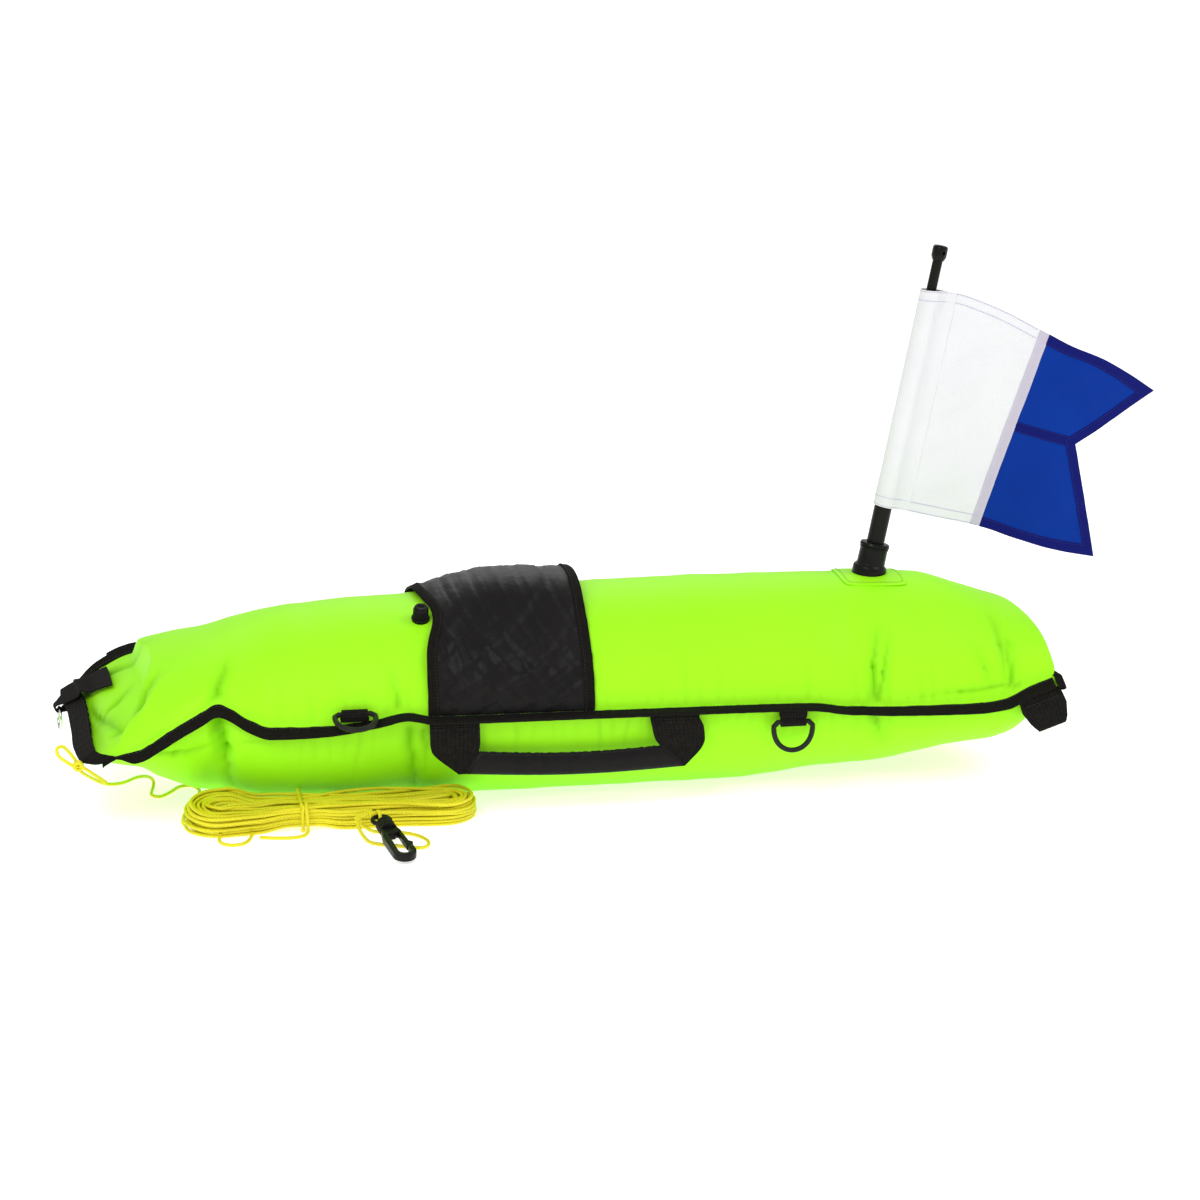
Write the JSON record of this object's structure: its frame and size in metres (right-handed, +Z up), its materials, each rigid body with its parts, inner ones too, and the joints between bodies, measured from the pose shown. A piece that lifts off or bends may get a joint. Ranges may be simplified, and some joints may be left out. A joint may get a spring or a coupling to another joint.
{
  "type": "spearfishing float",
  "caption": "Inflatable torpedo-shaped spearfishing float with a leaning mast and swallowtail flag, a carrying handle, webbing rings and a hank of tow line ending in a swivel snap.",
  "frame": {"origin": "middle of the flat patch that the hull's underside makes on the ground", "axes": "+X along the hull from the nose to the tail, +Z up, -Y towards the side with the carrying handle"},
  "size_m": [1.0968, 0.3903, 0.5152],
  "materials": {
    "coated_fabric": "semi-gloss coated fabric",
    "black_tape": "matt woven tape",
    "black_webbing": "matt ribbed webbing",
    "black_nylon": "matt woven nylon",
    "black_plastic": "glossy moulded plastic",
    "carbon_rod": "satin tube",
    "steel": "polished",
    "yellow_line": "satin braided line",
    "white_cloth": "matt flag cloth",
    "seam_cloth": "matt flag cloth, doubled",
    "blue_cloth": "matt flag cloth",
    "navy_cloth": "matt flag cloth, doubled"
  },
  "bodies": {
    "float": {"hull_top_panel": "coated_fabric", "hull_bottom_panel": "coated_fabric", "edge_binding_near": "black_tape", "edge_binding_far": "black_tape", "edge_binding_tail": "black_tape", "nose_band": "black_webbing", "far_nose_tab": "black_webbing", "sleeve_panel": "black_nylon", "sleeve_hem_nose": "black_tape", "sleeve_hem_tail": "black_tape", "valve_base": "black_plastic", "mast_patch": "coated_fabric", "mast_base": "black_plastic", "d_ring_near_nose_tab": "black_webbing", "d_ring_near_tail_tab": "black_webbing", "d_ring_far_nose_tab": "black_webbing", "d_ring_far_tail_tab": "black_webbing", "tow_strap": "black_webbing", "line_knot": "yellow_line", "tow_line": "yellow_line", "line_hank": "yellow_line", "hank_tie": "yellow_line", "line_end": "yellow_line", "end_knot": "yellow_line", "clip_eye": "black_plastic"},
    "valve_cap": {"valve_mouthpiece": "black_plastic"},
    "mast": {"mast_tube": "carbon_rod", "mast_collar": "black_plastic"},
    "rod": {"mast_rod": "carbon_rod", "mast_cap": "black_plastic"},
    "flag": {"flag_pole_sleeve": "white_cloth", "flag_white_panel": "white_cloth", "flag_seam_tape": "seam_cloth", "flag_border": "navy_cloth", "flag_middle_seam": "navy_cloth", "flag_blue_upper": "blue_cloth", "flag_blue_lower": "blue_cloth"},
    "handle": {"handle_webbing": "black_webbing", "handle_grip": "black_nylon"},
    "near_nose_ring": {"d_ring_near_nose": "black_plastic"},
    "near_tail_ring": {"d_ring_near_tail": "black_plastic"},
    "far_nose_ring": {"d_ring_far_nose": "black_plastic"},
    "far_tail_ring": {"d_ring_far_tail": "black_plastic"},
    "nose_ring": {"tow_ring": "steel"},
    "tail_loop": {"tail_grab_loop": "black_webbing"},
    "hook": {"clip_hook": "black_plastic"},
    "gate": {"clip_gate": "black_plastic"}
  },
  "joints": [
    {"name": "valve_twist", "type": "hinge", "parent": "float", "child": "valve_cap", "pos_m": [-0.14149, -0.05537, 0.18151], "axis": [0.0127, -0.3677, 0.9298], "range_deg": [0, 90]},
    {"name": "mast_lift", "type": "slide", "parent": "float", "child": "mast", "axis": [0.1977, 0, 0.9803], "range_m": [0, 0.04]},
    {"name": "rod_slide", "type": "slide", "parent": "mast", "child": "rod", "axis": [0.1977, 0, 0.9803], "range_m": [0, 0.06]},
    {"name": "flag_swing", "type": "hinge", "parent": "mast", "child": "flag", "pos_m": [0.32, 0, 0.19413], "axis": [0.1977, 0, 0.9803], "continuous": true},
    {"name": "handle_swing", "type": "hinge", "parent": "float", "child": "handle", "pos_m": [0, -0.12475, 0.09341], "axis": [-0.9999, 0, 0.0156], "range_deg": [-8, 90]},
    {"name": "near_nose_ring_swing", "type": "hinge", "parent": "float", "child": "near_nose_ring", "pos_m": [-0.21328, -0.1245, 0.10874], "axis": [-1, 0, 0], "range_deg": [-6, 100]},
    {"name": "near_tail_ring_swing", "type": "hinge", "parent": "float", "child": "near_tail_ring", "pos_m": [0.21379, -0.12475, 0.07978], "axis": [-1, 0, 0], "range_deg": [-15, 120]},
    {"name": "far_nose_ring_swing", "type": "hinge", "parent": "float", "child": "far_nose_ring", "pos_m": [-0.21302, 0.12475, 0.0834], "axis": [1, 0, 0], "range_deg": [-15, 120]},
    {"name": "far_tail_ring_swing", "type": "hinge", "parent": "float", "child": "far_tail_ring", "pos_m": [0.21389, 0.12475, 0.07633], "axis": [1, 0, 0], "range_deg": [-15, 120]},
    {"name": "nose_ring_swing", "type": "hinge", "parent": "float", "child": "nose_ring", "pos_m": [-0.49058, 0.09507, 0.0671], "axis": [-0.1344, 0.9909, 0], "range_deg": [-20, 80]},
    {"name": "tail_loop_swing", "type": "hinge", "parent": "float", "child": "tail_loop", "pos_m": [0.437, -0.12319, 0.07939], "axis": [-1, 0, 0], "range_deg": [-8, 25]},
    {"name": "clip_swivel", "type": "hinge", "parent": "float", "child": "hook", "pos_m": [-0.197, -0.166, 0.0205], "axis": [0.2054, -0.9661, -0.1564], "continuous": true},
    {"name": "clip_gate", "type": "hinge", "parent": "hook", "child": "gate", "pos_m": [-0.18053, -0.20693, 0.01362], "axis": [-0.0325, 0.153, -0.9877], "range_deg": [0, 18], "stiffness_Nm_per_rad": 0.02}
  ]
}
